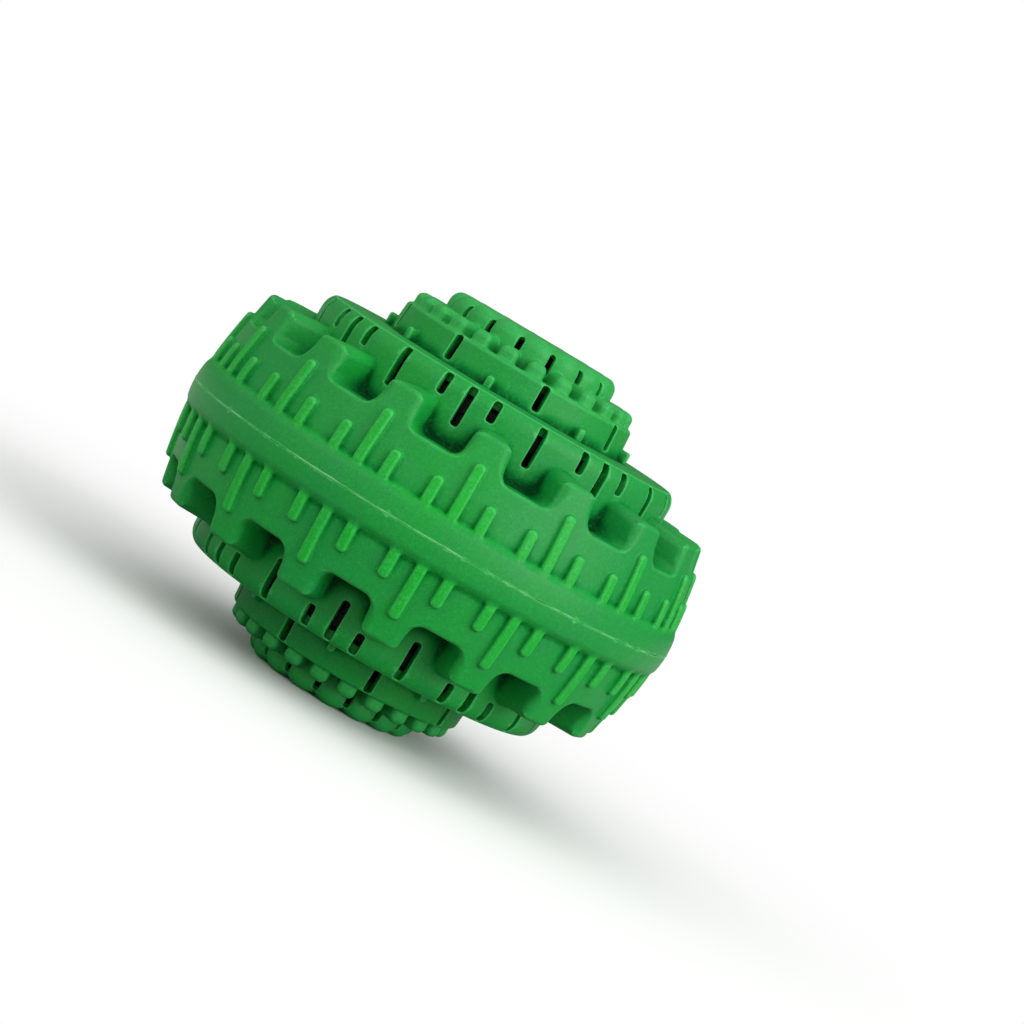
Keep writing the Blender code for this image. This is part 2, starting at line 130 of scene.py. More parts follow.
# Slots in the three upper tiers
SLOT_WIDTH = 0.00156
SLOT_CORNER = 0.00055
SLOT_EDGE = 0.00022
SECOND_SLOT_TOP = 0.0251
LONG_SLOT_FLOOR = 0.0176
SHORT_SLOT_FLOOR = 0.0212
SHORT_SLOT_ANGLE = math.radians(7.9)
THIRD_SLOT_FLOOR = 0.0264
THIRD_SLOT_TOP = 0.0312
RING_SLOT_WIDTH = 0.0012
RING_SLOT_FLOOR = 0.0325
RING_SLOT_TOP = 0.0364

# Cage: hard cups with a flange, pegs on the upper one and sockets in the lower one
GAP = 0.0003
CAGE_WALL = 0.0016
CAGE_RADIUS = SECOND_RADIUS - SKIN - GAP
CAGE_BORE = CAGE_RADIUS - CAGE_WALL
CAGE_TOP = SECOND_TOP - SKIN - GAP
CAGE_CEILING = CAGE_TOP - CAGE_WALL
CAGE_CORNER = 0.0009
CAGE_EDGE = 0.00025
CAGE_FILLET = 0.0008
CAGE_SLOT_WIDTH = 0.0036
CAGE_SLOT_CORNER = 0.0014
CAGE_WALL_SLOT_FLOOR = 0.0055
CAGE_FLOOR_SLOT_INNER = 0.0070
CAGE_HUB_HOLE = 0.0018
FLANGE_RADIUS = 0.0447
FLANGE_THICKNESS = 0.0030
FLANGE_TOP = GAP / 2 + FLANGE_THICKNESS
FLANGE_EDGE = 0.0005
PEG_CIRCLE = (CAGE_RADIUS + FLANGE_RADIUS) / 2
PEG_RADIUS = 0.0015
PEG_END = 0.0007
PEG_FILLET = 0.0002

# Divider and beads
DIVIDER_THICKNESS = 0.0016
DIVIDER_EDGE = 0.0003
DIVIDER_EDGE_STEPS = 3
DIVIDER_SHARP = math.radians(40)
BEAD_UNEVENNESS = 0.05
BEAD_LUMP_SCALE = 300.0
BEAD_FINENESS = 5

# Flash at the parting line
FLASH_WIDTH = 0.00022
FLASH_STEPS = 720
FLASH_WANDER = 7.0
FLASH_RAGGED = 60.0

# Repeats round the axis: one group of slots every eighth, a pocket every sixteenth, a knob every 24th
GROUP_STEP = math.radians(45.0)
POCKET_STEP = GROUP_STEP / 2
KNOB_STEP = GROUP_STEP / 3
PEG_STEP = math.radians(90.0)

# Grids that the wedges are meshed on, and how many of the triangles are kept
CELL = 0.00030
FINE_CELL = 0.00010
FINE_HEIGHT = 0.0006
CAGE_CELL = 0.00036
CAP_RADIUS = 0.0110
GRID_MARGIN = 0.0006
SETTLE_ROUNDS = 5
LEAST_SLOPE = 0.05
SLOPE_STEP = 0.00004
SKIN_KEPT = 0.12
CAGE_KEPT = 0.15
LONGEST_EDGE = 0.0025
HALVING_ROUNDS = 2
WELD = 0.000002

# Reaches at which the surface is probed for edges and for the painted corner shade
BEND_REACH = 0.0002
CORNER_SHADE_REACHES = (0.0007, 0.0024, 0.0075)
INNER_PAINTED_SHADE = 0.25
TOP_TIER_SHADE_KEPT = 0.45

# Colours: linear red, green, blue and alpha
RUBBER_WARM = (0.003, 0.290, 0.030, 1.0)
RUBBER_COOL = (0.003, 0.255, 0.040, 1.0)
RUBBER_DULL = (0.010, 0.245, 0.055, 1.0)
RUBBER_BRIGHT = (0.002, 0.400, 0.018, 1.0)
# Pale green for painted highlights on edges and on top, and for random flecks
RUBBER_HIGHLIGHT_AND_FLECK = (0.052, 0.490, 0.115, 1.0)
RUBBER_DEEP = (0.001, 0.110, 0.022, 1.0)
# Painted shade, mixed into the rubber's corners and inside
RUBBER_SHADED = (0.0003, 0.048, 0.011, 1.0)
RUBBER_SCUFFED = (0.050, 0.360, 0.090, 1.0)
FLASH_SOFT = (0.010, 0.320, 0.045, 1.0)
FLASH_PALE = (0.180, 0.520, 0.200, 1.0)
CAGE_LIGHT = (0.006, 0.008, 0.007, 1.0)
CAGE_DARK = (0.003, 0.004, 0.004, 1.0)
CAGE_WORN = (0.040, 0.045, 0.042, 1.0)
DIVIDER_LIGHT = (0.050, 0.054, 0.053, 1.0)
DIVIDER_DARK = (0.030, 0.033, 0.032, 1.0)
DIVIDER_WORN = (0.14, 0.14, 0.14, 1.0)
CERAMIC_CHALK = (0.80, 0.76, 0.68, 1.0)
BEAD_CLAY_AND_SPECK = {
    "infrared": ((0.33, 0.12, 0.06, 1.0), (0.16, 0.05, 0.03, 1.0)),
    "antibacterial": ((0.78, 0.74, 0.64, 1.0), (0.50, 0.45, 0.36, 1.0)),
    "alkaline": ((0.24, 0.24, 0.23, 1.0), (0.10, 0.10, 0.10, 1.0)),
    "dechlorinating": ((0.46, 0.50, 0.33, 1.0), (0.25, 0.28, 0.17, 1.0)),
}
PAPER_LIT = (0.30, 0.31, 0.31, 1.0)
PAPER_SEEN = (0.90, 0.91, 0.91, 1.0)
PLAIN_WHITE = (1.0, 1.0, 1.0, 1.0)
DOME_COLOUR = (1.0, 1.0, 0.98, 1.0)

# How strong the satin sheen is on open rubber
SATIN_SHEEN = 0.45

# Studio and camera, seen from the middle of the belt
FLOOR_RADIUS = 3.0
FLOOR_SIDES = 64
SHADOW_REACH = (0.03, 0.22)
DOME_TOP = (-0.12, -0.74, 0.66)
DOME_BRIGHT = 0.98
DOME_DIM = 0.06
DOME_SPREAD = 0.9
VIEW_AZIMUTH = math.radians(7.55)
VIEW_ELEVATION = math.radians(4.23)
VIEW_ROLL = math.radians(30.75)
VIEW_DISTANCE = 0.62
VIEW_LENS = 119.8
VIEW_SENSOR = 36.0
VIEW_CLIP = (0.01, 20.0)
VIEW_SHIFT = (0.0782, 0.0027)


def rounded_and(a, b, radius):
    """Where both shapes are, with the outer edge that they share rounded off."""
    over = np.hypot(np.maximum(a + radius, 0.0), np.maximum(b + radius, 0.0))
    return np.minimum(np.maximum(a, b), -radius) + over


def rounded_or(a, b, radius):
    """Where either shape is, with a fillet in the inner corner between them."""
    return -rounded_and(-a, -b, radius)


def shouldered(a, b, radii):
    """Where both are, with an elliptical shoulder between them."""
    return rounded_and(a / radii[0], b / radii[1], 1.0) * min(radii)


def wall_radius(height):
    """Radius of the first tier's leaning wall."""
    share = np.clip((height - BELT_HALF_HEIGHT) / (FIRST_TOP - BELT_HALF_HEIGHT), 0.0, WALL_LEAN_LIMIT)
    return WALL_BASE_RADIUS + (WALL_TOP_RADIUS - WALL_BASE_RADIUS) * share ** WALL_LEAN_POWER


def folded(angle, step):
    """Every angle brought between one mirror plane and the next, half a step apart."""
    return np.abs((angle + step / 2) % step - step / 2)


def beside(angle, radius, place, width, reference=None):
    """Distance sideways to a radial bar. With a reference radius the bar's sides are radial."""
    half = width / 2 if reference is None else width / 2 * radius / reference
    return np.abs(angle - place) * radius - half


def first_tier(radius, angle, height):
    """The leaning wall with its deck, less the pockets, which run back into the second tier."""
    rise = FIRST_DECK_RISE * (WALL_TOP_RADIUS - radius) / (WALL_TOP_RADIUS - SECOND_RADIUS)
    body = rounded_and(radius - wall_radius(height), height - FIRST_TOP - rise, FIRST_ROUNDING)
    flare = POCKET_LEAN * (height - POCKET_FLOOR)
    nearest = np.minimum(angle, POCKET_STEP - angle)
    side = (nearest * WALL_TOP_RADIUS - POCKET_HALF_WIDTH - flare) * radius / WALL_TOP_RADIUS
    face = rounded_and(side, POCKET_FLOOR - height, POCKET_CORNER)
    pocket = np.maximum(face, SECOND_RADIUS - POCKET_BEHIND - radius)
    lift = np.clip((height - POCKET_FLOOR) / POCKET_EDGE_RISE, 0.0, 1.0)
    return rounded_and(body, -pocket, POCKET_EDGE + POCKET_EDGE_GROWTH * lift)


def ribs(radius, angle, height):
    """A long rib between two short ones, midway between pockets."""
    bars = []
    long_place = POCKET_STEP / 2
    places = ((long_place, LONG_RIB_TOP), (long_place - SHORT_RIB_ANGLE, SHORT_RIB_TOP),
              (long_place + SHORT_RIB_ANGLE, SHORT_RIB_TOP))
    for place, top in places:
        face = rounded_and(beside(angle, radius, place, RIB_WIDTH), height - top, RIB_END)
        bars.append(rounded_and(face, radius - wall_radius(height) - RIB_PROUD, RIB_ROUNDING))
    return np.minimum.reduce(bars)


def knobs(radius, angle, height):
    """The knobs on the third tier's deck, which run in to the fourth tier."""
    teeth = []
    for place in (0.0, KNOB_STEP, 2 * KNOB_STEP):
        side = beside(angle, radius, place, KNOB_WIDTH, KNOB_RADIUS)
        plan = rounded_and(side, radius - KNOB_RADIUS, KNOB_CORNER)
        teeth.append(rounded_and(plan, height - KNOB_TOP, KNOB_ROUNDING))
    return np.maximum(np.minimum.reduce(teeth), FOURTH_RADIUS - SLOT_CORNER - radius)


def stops(radius, angle, height):
    """The small round-topped bars at the foot of the third tier."""
    face = rounded_and(beside(angle, radius, 0.0, STOP_WIDTH), height - STOP_TOP, STOP_END)
    post = rounded_and(face, radius - STOP_RADIUS, STOP_ROUNDING)
    return np.maximum(post, THIRD_TOP_RADIUS - SKIN / 2 - radius)


def slots(radius, angle, height):
    """Every slot in the three upper tiers, each cut in from outside to its own depth."""
    rows = (
        (0.0, SLOT_WIDTH, LONG_SLOT_FLOOR, SECOND_SLOT_TOP, SECOND_RADIUS - SKIN),
        (SHORT_SLOT_ANGLE, SLOT_WIDTH, SHORT_SLOT_FLOOR, SECOND_SLOT_TOP, SECOND_RADIUS - SKIN),
        (POCKET_STEP, SLOT_WIDTH, LONG_SLOT_FLOOR, SECOND_SLOT_TOP, SECOND_RADIUS - SKIN),
        (POCKET_STEP, SLOT_WIDTH, THIRD_SLOT_FLOOR, THIRD_SLOT_TOP, THIRD_TOP_RADIUS - SKIN),
        (0.0, RING_SLOT_WIDTH, RING_SLOT_FLOOR, RING_SLOT_TOP, FOURTH_RADIUS - SKIN),
        (POCKET_STEP, RING_SLOT_WIDTH, RING_SLOT_FLOOR, RING_SLOT_TOP, FOURTH_RADIUS - SKIN),
    )
    cuts = []
    for place, width, floor, top, inside in rows:
        ends = np.maximum(floor - height, height - top)
        face = rounded_and(beside(angle, radius, place, width), ends, SLOT_CORNER)
        cuts.append(np.maximum(face, inside - SLOT_WIDTH / 2 - radius))
    return np.minimum.reduce(cuts)


def cavity(radius, height):
    """The space inside, stepped as the outside is."""
    first_ceiling = POCKET_FLOOR - SKIN
    steps = (
        (wall_radius(height) - SKIN - FIRST_INSET, first_ceiling),
        (SECOND_RADIUS - SKIN, SECOND_TOP - SKIN),
        (THIRD_TOP_RADIUS - SKIN, THIRD_TOP - SKIN),
        (FOURTH_RADIUS - SKIN, POLE_TOP - SKIN),
    )
    return np.minimum.reduce([np.maximum(radius - reach, height - top) for reach, top in steps])


def second_tier(radius, height):
    """The second tier, whose shoulder ends in a crisp rim at the deck."""
    inwards = np.clip(1 - (radius - THIRD_BASE_RADIUS) / SECOND_DECK_WIDTH, 0, 1)
    deck = SECOND_TOP + SECOND_DECK_RISE * inwards
    dome = shouldered(radius - SECOND_RADIUS, height - SECOND_TOP - SECOND_RIM_CUT, SECOND_SHOULDER)
    return rounded_and(dome, height - deck, SECOND_RIM_EDGE)


def fourth_tier(radius, angle, height):
    """The top tier, which bulges between its slots and falls back in a groove at each of them."""
    nearest = np.minimum(angle, POCKET_STEP - angle) / (POCKET_STEP / 2)
    fall = LOBE_FALL * (1.0 - nearest) ** 2
    outer = np.clip((radius - LOBE_INNER) / (FOURTH_RADIUS - FOURTH_SHOULDER[0] - LOBE_INNER), 0.0, 1.0)
    return shouldered(radius - FOURTH_RADIUS + fall, height - POLE_TOP + fall * outer, FOURTH_SHOULDER)


def skin_outside(radius, angle, height):
    """Signed distance to the upper skin as if it were solid: below zero in the rubber."""
    angle = folded(angle, GROUP_STEP)
    crown = BELT_CROWN * (height / BELT_HALF_HEIGHT) ** 2
    belt = rounded_and(radius - BELT_RADIUS + crown, height - BELT_HALF_HEIGHT, BELT_ROUNDING)
    lean = (THIRD_BASE_RADIUS - THIRD_TOP_RADIUS) * (height - SECOND_TOP) / (THIRD_TOP - SECOND_TOP)
    third = rounded_and(radius - THIRD_BASE_RADIUS + lean, height - THIRD_TOP, THIRD_ROUNDING)
    first, second = first_tier(radius, angle, height), second_tier(radius, height)
    lower_tiers = rounded_or(first, second, SECOND_FILLET)
    upper_tiers = rounded_or(third, fourth_tier(radius, angle, height), FOURTH_FILLET)
    tiers = rounded_or(upper_tiers, lower_tiers, THIRD_FILLET)
    cut = rounded_and(tiers, -slots(radius, angle, height), SLOT_EDGE)
    outside = rounded_or(cut, ribs(radius, angle, height), RIB_FILLET)
    outside = rounded_or(outside, belt, BELT_FILLET)
    outside = rounded_or(outside, stops(radius, angle, height), STOP_FILLET)
    return rounded_or(outside, knobs(radius, angle, height), KNOB_FILLET)


def skin_distance(radius, angle, height):
    """Signed distance to the hollow upper skin, flat at the parting plane."""
    hollow = np.maximum(skin_outside(radius, angle, height), -cavity(radius, height))
    return rounded_and(hollow, PARTING_LIFT - height, PARTING_EDGE)


def cage_openings(radius, angle, height):
    """The cage's upright slots, the spokes of slots in its floor and the hole at its hub."""
    sixteenth = folded(angle, POCKET_STEP)
    ends = np.maximum(CAGE_WALL_SLOT_FLOOR - height, height - CAGE_CEILING + CAGE_WALL)
    side = beside(sixteenth, radius, 0.0, CAGE_SLOT_WIDTH, CAGE_RADIUS)
    upright = np.maximum(rounded_and(side, ends, CAGE_SLOT_CORNER), CAGE_BORE - CAGE_WALL - radius)
    spoke = folded(angle + POCKET_STEP, GROUP_STEP)
    out, across = radius * np.cos(spoke), radius * np.sin(spoke)
    ends = np.maximum(CAGE_FLOOR_SLOT_INNER - out, out - CAGE_BORE + CAGE_WALL)
    flat = rounded_and(across - CAGE_SLOT_WIDTH / 2, ends, CAGE_SLOT_CORNER)
    floor = np.minimum(flat, radius - CAGE_HUB_HOLE)
    return np.minimum(upright, np.maximum(floor, CAGE_CEILING - CAGE_WALL / 2 - height))


def cage_distance(radius, angle, height):
    """Signed distance to the cup and flange that both cages share. Angles are from a peg."""
    cup = rounded_and(radius - CAGE_RADIUS, height - CAGE_TOP, CAGE_CORNER)
    flange = rounded_and(radius - FLANGE_RADIUS, height - FLANGE_TOP, FLANGE_EDGE)
    hollow = rounded_and(radius - CAGE_BORE, height - CAGE_CEILING, CAGE_CORNER)
    shape = rounded_and(rounded_or(cup, flange, CAGE_FILLET), -hollow, CAGE_EDGE)
    shape = rounded_and(shape, -cage_openings(radius, angle, height), CAGE_EDGE)
    return rounded_and(shape, GAP / 2 - height, CAGE_EDGE)


def from_peg(radius, angle):
    """Distance in plan from the nearest peg's axis."""
    near = folded(angle, PEG_STEP)
    return np.hypot(radius * np.cos(near) - PEG_CIRCLE, radius * np.sin(near))


def pegged_cage(radius, angle, height):
    """The upper cage, whose pegs reach down past its flange."""
    pin = rounded_and(from_peg(radius, angle) - PEG_RADIUS, -FLANGE_TOP - height, PEG_END)
    pin = np.maximum(pin, height - FLANGE_TOP / 2)
    return rounded_or(cage_distance(radius, angle, height), pin, PEG_FILLET)


def socketed_cage(radius, angle, height):
    """The lower cage, with a socket for each peg."""
    socket = from_peg(radius, angle) - PEG_RADIUS - GAP
    return rounded_and(cage_distance(radius, angle, height), -socket, CAGE_EDGE)


def spread(start, end, cell):
    """Evenly spaced grid lines, about one cell apart."""
    return np.linspace(start, end, round((end - start) / cell) + 1)


def gradient(field, points):
    """Slope of the distance at points given as (radius, angle, height) rows, in metres."""
    slopes = []
    for axis in range(3):
        shift = np.zeros_like(points)
        shift[:, axis] = SLOPE_STEP if axis != 1 else SLOPE_STEP / points[:, 0]
        slopes.append((field(*(points + shift).T) - field(*(points - shift).T)) / (2 * SLOPE_STEP))
    return np.stack(slopes, axis=1)


class Wedge:
    """A round moulding between two of its mirror planes, meshed from its signed distance."""

    def __init__(self, field, span, radii, heights, cell):
        self.field = field
        self.span = span
        self.cell = cell
        self.lines = (radii, spread(0.0, span, cell / radii[-1]), heights)

    def net(self):
        """Points and four-cornered faces, with one point in each grid cell that the surface crosses."""
        field = self.field(*np.meshgrid(*self.lines, indexing="ij"))
        inside = field < 0.0
        cells = tuple(size - 1 for size in field.shape)
        corners = [(a, b, c) for a in (0, 1) for b in (0, 1) for c in (0, 1)]
        count = np.zeros(cells, dtype=np.int8)
        for a, b, c in corners:
            count += inside[a:a + cells[0], b:b + cells[1], c:c + cells[2]]
        crossed = (count > 0) & (count < len(corners))
        number = np.full(cells, -1, dtype=np.int64)
        number[crossed] = np.arange(crossed.sum())
        place = np.argwhere(crossed)
        middle = self.crossings(field, place, corners)
        axes = [np.interp(middle[:, i], np.arange(len(self.lines[i])), self.lines[i]) for i in range(3)]
        faces = np.concatenate([self.faces(inside, number, axis) for axis in range(3)])
        return np.stack(axes, axis=1), faces, place, cells

    @staticmethod
    def crossings(field, place, corners):
        """Middle of the spots where the surface cuts each cell's edges, in grid steps."""
        total = np.zeros((len(place), 3))
        weight = np.zeros((len(place), 1))
        for start in corners:
            for axis in range(3):
                if start[axis]:
                    continue
                low = place + np.array(start)
                high = low.copy()
                high[:, axis] += 1
                before = field[tuple(low.T)]
                after = field[tuple(high.T)]
                cuts = (before < 0.0) != (after < 0.0)
                spot = low.astype(float)
                spot[:, axis] += np.where(cuts, before / np.where(cuts, before - after, 1.0), 0.0)
                total += spot * cuts[:, None]
                weight += cuts[:, None]
        return total / weight

    @staticmethod
    def faces(inside, number, axis):
        """Faces across the grid edges that run along one axis, each joining the four cells round it."""
        first, second = (axis + 1) % 3, (axis + 2) % 3
        low = [slice(None)] * 3
        high = [slice(None)] * 3
        low[axis], high[axis] = slice(None, -1), slice(1, None)
        for other in (first, second):
            low[other] = high[other] = slice(1, -1)
        before, after = inside[tuple(low)], inside[tuple(high)]
        quads = []
        for selected, flip in ((before & ~after, False), (~before & after, True)):
            spot = np.argwhere(selected)
            spot[:, first] += 1
            spot[:, second] += 1
            ring = []
            for back_first, back_second in ((1, 1), (0, 1), (0, 0), (1, 0)):
                cell = spot.copy()
                cell[:, first] -= back_first
                cell[:, second] -= back_second
                ring.append(number[tuple(cell.T)])
            quad = np.stack(ring, axis=1)
            quads.append(quad[:, ::-1] if flip else quad)
        return np.concatenate(quads)

    def settle(self, points, held):
        """Move the points on to the surface itself, keeping those on the cut faces in their planes."""
        for _ in range(SETTLE_ROUNDS):
            distance = self.field(*points.T)
            slope = gradient(self.field, points)
            for axis, rows in held:
                slope[rows, axis] = 0.0
            length = np.maximum((slope ** 2).sum(axis=1), LEAST_SLOPE)
            move = -slope * (distance / length)[:, None]
            size = np.linalg.norm(move, axis=1, keepdims=True)
            move *= np.minimum(1.0, self.cell / 2 / np.maximum(size, 1e-12))
            move[:, 1] /= points[:, 0]
            points = points + move
        return points

    def mesh(self, kept):
        """The wedge as a mesh, thinned to the share of its triangles that is kept."""
        points, faces, place, cells = self.net()
        at_start = place[:, 1] == 0
        at_end = place[:, 1] == cells[1] - 1
        at_cap = place[:, 0] == 0
        points[at_start, 1] = 0.0
        points[at_end, 1] = self.span
        points[at_cap, 0] = self.lines[0][0]
        for group in (at_start, at_end, at_cap):
            faces = faces[~group[faces].all(axis=1)]
        radius, angle, height = self.settle(points, ((1, at_start | at_end), (0, at_cap))).T
        spots = np.stack((radius * np.cos(angle), radius * np.sin(angle), height), axis=1)
        mesh = bpy.data.meshes.new("wedge")
        mesh.from_pydata(spots.tolist(), [], faces.tolist())
        mesh.validate()
        return self.thinned(mesh, kept)

    def thinned(self, mesh, kept):
        """Fewer triangles where the wedge is flat, with its cut faces still plane."""
        work = linked("wedge_work", mesh)
        thinner = work.modifiers.new("thinner", "DECIMATE")
        thinner.ratio = kept
        thinner.use_collapse_triangulate = True
        result = evaluated_mesh(work)
        bpy.data.objects.remove(work)
        split_long_edges(result)
        for vertex in result.vertices:
            radius = math.hypot(vertex.co.x, vertex.co.y)
            angle = math.atan2(vertex.co.y, vertex.co.x)
            if angle * radius < self.cell / 8:
                vertex.co.y = 0.0
            elif (self.span - angle) * radius < self.cell / 8:
                vertex.co.x = radius * math.cos(self.span)
                vertex.co.y = radius * math.sin(self.span)
        return result


def linked(name, mesh):
    """A new object in the scene."""
    made = bpy.data.objects.new(name, mesh)
    bpy.context.scene.collection.objects.link(made)
    return made


def evaluated_mesh(source):
    """The mesh that an object's modifiers give, as plain data."""
    bpy.context.view_layer.update()
    return bpy.data.meshes.new_from_object(source.evaluated_get(bpy.context.evaluated_depsgraph_get()))


def split_long_edges(mesh):
    """Halve the edges that are too long to carry shading across a flat wall."""
    shape = bmesh.new()
    shape.from_mesh(mesh)
    for _ in range(HALVING_ROUNDS):
        edges = [edge for edge in shape.edges if edge.calc_length() > LONGEST_EDGE]
        bmesh.ops.subdivide_edges(shape, edges=edges, cuts=1)
        bmesh.ops.triangulate(shape, faces=shape.faces[:])
    shape.to_mesh(mesh)
    shape.free()


def polar(mesh):
    """A mesh's points as (radius, angle, height) rows."""
    across, along, height = np.array([vertex.co for vertex in mesh.vertices]).T
    return np.stack((np.hypot(across, along), np.arctan2(along, across), height), axis=1)


def moved(points, direction, reach):
    """Points a little way off, in a direction given as (outward, round, up)."""
    shift = np.tile(np.array(direction) * reach, (len(points), 1))
    shift[:, 1] /= points[:, 0]
    return points + shift


def bend_at(field, points):
    """How sharply the surface bends: above zero on outer edges, below zero in inner corners."""
    directions = ((1, 0, 0), (-1, 0, 0), (0, 1, 0), (0, -1, 0), (0, 0, 1), (0, 0, -1))
    bend = -len(directions) * field(*points.T)
    for direction in directions:
        bend += field(*moved(points, direction, BEND_REACH).T)
    return np.clip(bend / BEND_REACH, -1.0, 1.0)


def top_at(points):
    """One on the knobs and the fourth tier, and zero below them: the mask for painted light on top."""
    return np.clip((points[:, 2] - THIRD_TOP) / THIRD_ROUNDING + 1.0, 0.0, 1.0)


def shelter_at(points):
    """Painted shade: how much rubber stands round each point of the skin, which is most in a deep corner."""
    signs = (-1, 0, 1)
    directions = [(a, b, c) for a in signs for b in signs for c in signs if a or b or c]
    filled = np.zeros(len(points))
    for reach in CORNER_SHADE_REACHES:
        for direction in directions:
            spots = moved(points, direction, reach / math.hypot(*direction))
            free = skin_outside(spots[:, 0], spots[:, 1], np.abs(spots[:, 2])) / reach
            filled += np.clip(0.5 - free, 0.0, 1.0)
    shelter = np.clip(2 * filled / (len(directions) * len(CORNER_SHADE_REACHES)) - 1, 0.0, 1.0)
    shelter *= 1.0 - (1.0 - TOP_TIER_SHADE_KEPT) * top_at(points)
    return np.where(skin_outside(*points.T) < -SKIN / 4, INNER_PAINTED_SHADE, shelter)


def raised_at(points):
    """One on the ribs' faces and zero elsewhere."""
    radius, _, height = points.T
    proud = (radius - wall_radius(height)) / RIB_PROUD
    above_belt = np.clip((height - BELT_HALF_HEIGHT) / RIB_PROUD + 1.0, 0.0, 1.0)
    return np.clip(proud, 0.0, 1.0) * above_belt * (height < LONG_RIB_TOP + RIB_PROUD)


def mark(mesh, **marks):
    """Keep values on a mesh's points, for its material to read."""
    for label, values in marks.items():
        layer = mesh.attributes.new(label, "FLOAT", "POINT")
        layer.data.foreach_set("value", values.astype(np.float32))


def close_holes(mesh):
    """Fill the round openings left at the poles, and turn every face outwards."""
    shape = bmesh.new()
    shape.from_mesh(mesh)
    bmesh.ops.holes_fill(shape, edges=[edge for edge in shape.edges if edge.is_boundary], sides=0)
    bmesh.ops.recalc_face_normals(shape, faces=shape.faces)
    shape.to_mesh(mesh)
    shape.free()


def placed(mesh, name, field, first_angle, sign):
    """A ring in its place, or its mirror image below, shaded by the true slope of its surface."""
    points = polar(mesh)
    slope = gradient(field, points - (0.0, first_angle, 0.0))
    slope /= np.maximum(np.linalg.norm(slope, axis=1, keepdims=True), 1e-9)
    cosine, sine = np.cos(points[:, 1]), np.sin(points[:, 1])
    across = slope[:, 0] * cosine - slope[:, 1] * sine
    along = slope[:, 0] * sine + slope[:, 1] * cosine
    normals = np.stack((across, along, slope[:, 2] * sign), axis=1)
    spots = np.array([vertex.co for vertex in mesh.vertices]) * (1.0, 1.0, sign) + (0.0, 0.0, PARTING)
    mesh.vertices.foreach_set("co", spots.astype(np.float32).ravel())
    if sign < 0:
        mesh.flip_normals()
    mesh.update()
    mesh.shade_smooth()
    mesh.normals_split_custom_set_from_vertices(normals.tolist())
    return linked(name, mesh)


class Value:
    """An output of a node tree that takes part in sums as a number does."""

    def __init__(self, graph, socket):
        self.graph = graph
        self.socket = socket

    def __add__(self, other):
        return self.graph.maths("ADD", self, other)

    def __radd__(self, other):
        return self.graph.maths("ADD", other, self)

    def __sub__(self, other):
        return self.graph.maths("SUBTRACT", self, other)

    def __rsub__(self, other):
        return self.graph.maths("SUBTRACT", other, self)

    def __mul__(self, other):
        return self.graph.maths("MULTIPLY", self, other)

    def __rmul__(self, other):
        return self.graph.maths("MULTIPLY", other, self)

    def __truediv__(self, other):
        return self.graph.maths("DIVIDE", self, other)

    def __rtruediv__(self, other):
        return self.graph.maths("DIVIDE", other, self)

    def __neg__(self):
        return self.graph.maths("MULTIPLY", self, -1.0)

    def ramp(self, low, high):
        """Zero below low, one above high and smooth between them."""
        limits = {"Value": self, "From Min": low, "From Max": high}
        return self.graph.node("ShaderNodeMapRange", {"interpolation_type": "SMOOTHSTEP"}, limits)


class Graph:
    """A node tree. One method adds any node, with its settings and with values for its sockets."""

    def __init__(self, tree):
        self.tree = tree

    def node(self, kind, settings, values, output=0):
        made = self.tree.nodes.new(kind)
        for key, setting in settings.items():
            setattr(made, key, setting)
        for key, value in values.items():
            self.feed(made.inputs[key], value)
        return Value(self, made.outputs[output])

    def feed(self, socket, value):
        if isinstance(value, Value):
            self.tree.links.new(value.socket, socket)
        elif isinstance(value, list):
            for each in value:
                self.feed(socket, each)
        else:
            socket.default_value = value

    def maths(self, operation, first, second):
        return self.node("ShaderNodeMath", {"operation": operation}, {0: first, 1: second})

    def noise(self, place, scale, detail=2.0, rough=0.5):
        values = {"Vector": place, "Scale": scale, "Detail": detail, "Roughness": rough}
        return self.node("ShaderNodeTexNoise", {}, values)


class Recipe(Graph):
    """Geometry Nodes with named inputs, applied to a mesh to give a new mesh."""

    def __init__(self, name, inputs):
        super().__init__(bpy.data.node_groups.new(name, "GeometryNodeTree"))
        for label, kind in {"Geometry": "Geometry", **inputs}.items():
            self.tree.interface.new_socket(label, in_out="INPUT", socket_type="NodeSocket" + kind)
        self.tree.interface.new_socket("Geometry", in_out="OUTPUT", socket_type="NodeSocketGeometry")
        self.inputs = self.tree.nodes.new("NodeGroupInput")

    def given(self, name):
        return Value(self, self.inputs.outputs[name])

    def finish(self, geometry):
        out = self.tree.nodes.new("NodeGroupOutput")
        self.tree.links.new(geometry.socket, out.inputs["Geometry"])
        return self

    def apply(self, mesh, **values):
        """The mesh that the nodes make of a mesh, with underscores for spaces in the inputs' names."""
        work = linked("recipe_work", mesh)
        modifier = work.modifiers.new("recipe", "NODES")
        modifier.node_group = self.tree
        for item in self.tree.interface.items_tree:
            key = item.name.replace(" ", "_")
            if item.in_out == "INPUT" and key in values:
                modifier[item.identifier] = values[key]
        result = evaluated_mesh(work)
        bpy.data.objects.remove(work)
        return result


